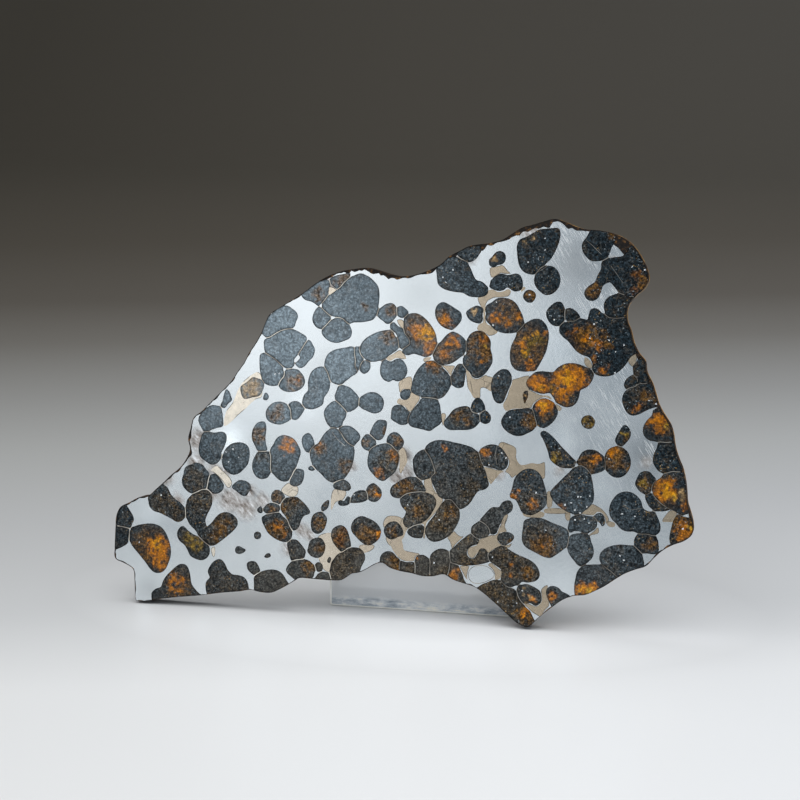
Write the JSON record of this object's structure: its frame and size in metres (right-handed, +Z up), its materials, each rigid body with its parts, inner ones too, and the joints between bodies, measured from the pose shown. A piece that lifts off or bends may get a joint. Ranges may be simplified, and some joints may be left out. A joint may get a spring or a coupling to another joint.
{
  "type": "pallasite meteorite slice on stand",
  "caption": "Thin polished slice of stony-iron meteorite, translucent olivine crystals set in a bright metal web, leaning upright on a clear acrylic block.",
  "frame": {"origin": "centre of the footprint's box, on the surface that the slice and its block stand on", "axes": "+X along the slice's width to the viewer's right, +Y backwards to the block, +Z up; the polished face looks along -Y and leans back by 8 degrees"},
  "size_m": [0.0999, 0.0143, 0.068],
  "materials": {
    "iron_nickel": "polished cut face, dark fusion crust on the edge",
    "olivine_amber": "polished, translucent amber to orange",
    "olivine_brown": "polished, translucent brown",
    "olivine_slate": "polished, dark slate with brown depths",
    "clear_acrylic": "clear, polished"
  },
  "bodies": {
    "root": {"metal_matrix": "iron_nickel", "acrylic_stand": "clear_acrylic", "olivine_west_amber": "olivine_amber", "olivine_west_upper": "olivine_slate", "olivine_west_hooked": "olivine_slate", "olivine_west_brown": "olivine_brown", "olivine_foot_amber": "olivine_amber", "olivine_foot_slate": "olivine_slate", "olivine_lower_edge": "olivine_slate", "olivine_left_slate": "olivine_slate", "olivine_left_mottled": "olivine_slate", "olivine_crest_left": "olivine_slate", "olivine_two_lobes": "olivine_slate", "olivine_middle_left": "olivine_slate", "olivine_rust_patch": "olivine_brown", "olivine_crest_sparkling": "olivine_slate", "olivine_amber_centre": "olivine_amber", "olivine_slate_upper": "olivine_slate", "olivine_slate_beside": "olivine_slate", "olivine_round_middle": "olivine_slate", "olivine_amber_mottled": "olivine_amber", "olivine_tan_drop": "olivine_brown", "olivine_shield": "olivine_slate", "olivine_middle_dark": "olivine_slate", "olivine_largest": "olivine_slate", "olivine_beside_largest": "olivine_slate", "olivine_upper_slate": "olivine_slate", "olivine_amber_round": "olivine_amber", "olivine_waisted": "olivine_slate", "olivine_top_black": "olivine_slate", "olivine_under_top": "olivine_slate", "olivine_olive_gold": "olivine_amber", "olivine_amber_pair": "olivine_amber", "olivine_amber_egg": "olivine_amber", "olivine_black_slab": "olivine_slate", "olivine_wedge": "olivine_slate", "olivine_top_right": "olivine_slate", "olivine_shoulder": "olivine_slate", "olivine_right_black": "olivine_slate", "olivine_right_great": "olivine_slate", "olivine_right_brown": "olivine_brown", "olivine_right_orange": "olivine_amber", "olivine_smeared_top": "olivine_slate", "olivine_crackled": "olivine_slate", "olivine_right_round": "olivine_slate", "olivine_brown_hexagon": "olivine_brown", "olivine_lower_slate": "olivine_slate", "olivine_right_edge": "olivine_slate", "olivine_right_amber": "olivine_amber", "olivine_right_twin": "olivine_slate", "olivine_lower_right_tip": "olivine_slate", "olivine_lower_ellipse": "olivine_slate", "olivine_foot_tip": "olivine_slate", "olivine_lower_amber": "olivine_amber", "olivine_lower_black": "olivine_slate", "olivine_bottom_brown": "olivine_brown", "olivine_lower_dark": "olivine_slate", "olivine_lower_middle": "olivine_slate"}
  },
  "joints": []
}
